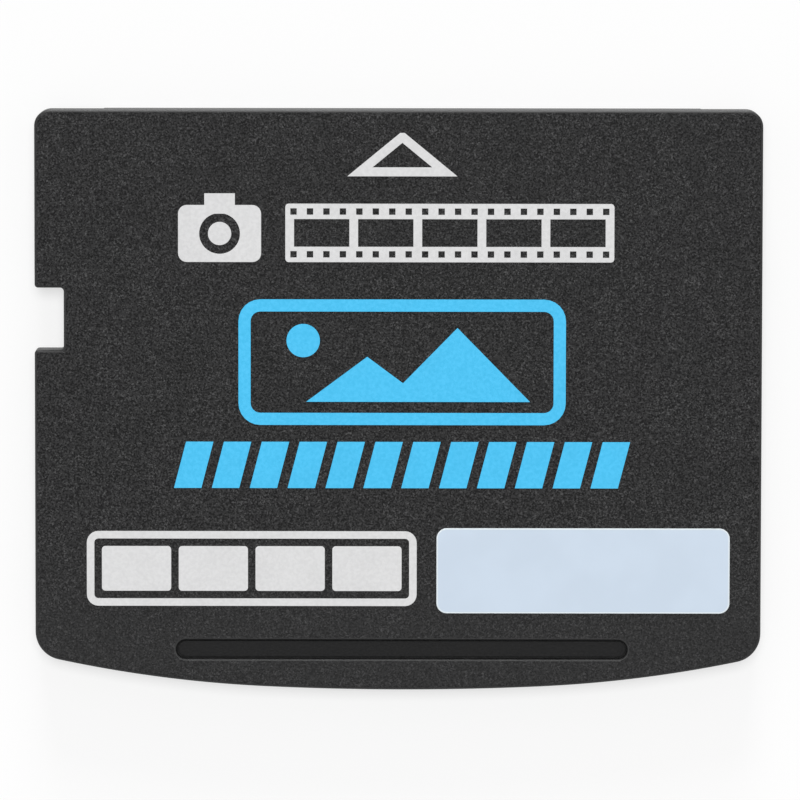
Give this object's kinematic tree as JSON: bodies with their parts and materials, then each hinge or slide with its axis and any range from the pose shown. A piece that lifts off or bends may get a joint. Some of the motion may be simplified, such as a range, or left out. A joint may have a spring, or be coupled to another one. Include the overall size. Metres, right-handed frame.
{
  "type": "picture memory card",
  "caption": "Dark flat memory card for cameras with a bowed grip edge, a side notch, gold contacts on the back and plain printed marks on the front.",
  "frame": {"origin": "under the middle of the card's outline, on the surface that its back face lies on", "axes": "X across the card, to the right as seen on the printed face; Y along the card, towards the contact edge; Z out of the printed face"},
  "size_m": [0.025, 0.02, 0.0018],
  "materials": {
    "front_cover_plastic": "fine spark-eroded texture, matt",
    "back_cover_plastic": "fine spark-eroded texture, matt",
    "board_laminate": "solder mask, satin",
    "contact_gold": "hard gold plating, satin",
    "chip_resin": "moulded epoxy, matt",
    "lead_tin": "tin plating, satin",
    "capacitor_ceramic": "fired ceramic, matt",
    "resistor_glaze": "dark glaze, satin",
    "label_film": "writable film, satin",
    "white_ink": "screen printed ink, matt",
    "blue_ink": "screen printed ink, matt"
  },
  "bodies": {
    "root": {"front_cover": "front_cover_plastic", "back_cover": "back_cover_plastic", "circuit_board": "board_laminate", "contact_01": "contact_gold", "contact_02": "contact_gold", "contact_03": "contact_gold", "contact_04": "contact_gold", "contact_05": "contact_gold", "contact_06": "contact_gold", "contact_07": "contact_gold", "contact_08": "contact_gold", "contact_09": "contact_gold", "contact_10": "contact_gold", "contact_11": "contact_gold", "contact_12": "contact_gold", "contact_13": "contact_gold", "contact_14": "contact_gold", "contact_15": "contact_gold", "contact_16": "contact_gold", "contact_17": "contact_gold", "contact_18": "contact_gold", "memory_chip": "chip_resin", "left_chip_leads": "lead_tin", "right_chip_leads": "lead_tin", "left_capacitor": "capacitor_ceramic", "right_capacitor": "capacitor_ceramic", "resistor": "resistor_glaze", "component_end_caps": "lead_tin", "writing_label": "label_film", "arrow_print": "white_ink", "camera_print": "white_ink", "film_strip_print": "white_ink", "picture_print": "blue_ink", "slanted_bars_print": "blue_ink", "gauge_print": "white_ink"}
  },
  "joints": []
}
